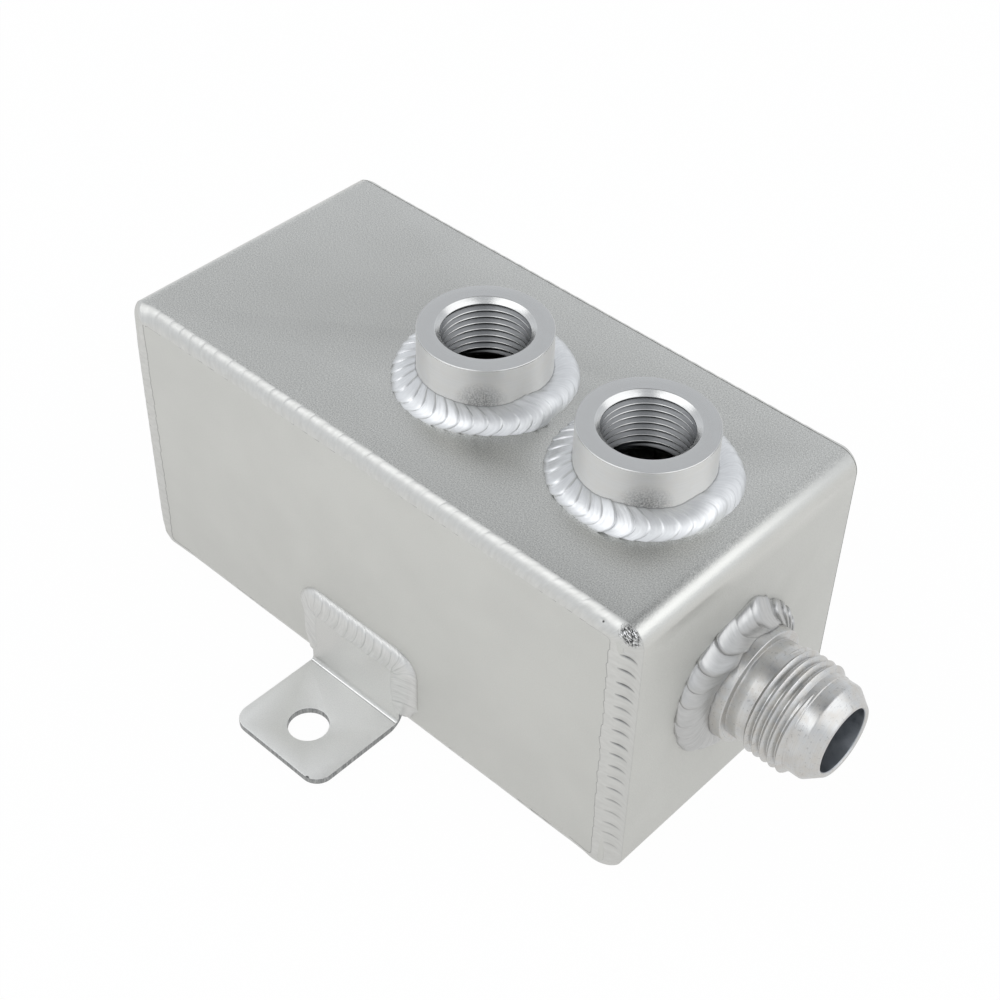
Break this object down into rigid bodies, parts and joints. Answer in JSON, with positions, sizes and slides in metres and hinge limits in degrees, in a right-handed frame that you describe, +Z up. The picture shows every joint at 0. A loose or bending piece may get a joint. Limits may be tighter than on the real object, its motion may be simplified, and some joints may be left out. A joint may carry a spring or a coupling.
{
  "type": "oil catch can",
  "caption": "Welded box-shaped aluminium oil catch can with threaded top ports, a flared male outlet on one end, an inner baffle and side mounting brackets.",
  "frame": {"origin": "centre of the tank's flat underside", "axes": "+X along the tank towards the male outlet, +Z up along the ports, -Y towards the near bracket"},
  "size_m": [0.1914, 0.1378, 0.0937],
  "materials": {
    "sheet": "bead blasted, satin with a fine grain",
    "weld": "rippled weld metal, brighter than the sheet",
    "port": "turned, satin",
    "fitting": "turned, semi-bright with fine tool marks",
    "bracket": "bead blasted, satin"
  },
  "bodies": {
    "root": {"tank_wrap": "sheet", "side_plate_near": "sheet", "side_plate_far": "sheet", "baffle": "sheet", "baffle_tacks": "weld", "rear_port": "port", "front_port": "port", "outlet_fitting": "fitting", "bracket_near": "bracket", "bracket_far": "bracket", "closing_weld": "weld", "seam_weld_near_top": "weld", "seam_weld_near_front": "weld", "seam_weld_near_bottom": "weld", "seam_weld_near_rear": "weld", "seam_weld_far_top": "weld", "seam_weld_far_front": "weld", "seam_weld_far_bottom": "weld", "seam_weld_far_rear": "weld", "rear_port_weld": "weld", "front_port_weld": "weld", "outlet_weld": "weld", "bracket_weld_near": "weld", "bracket_weld_far": "weld"}
  },
  "joints": []
}
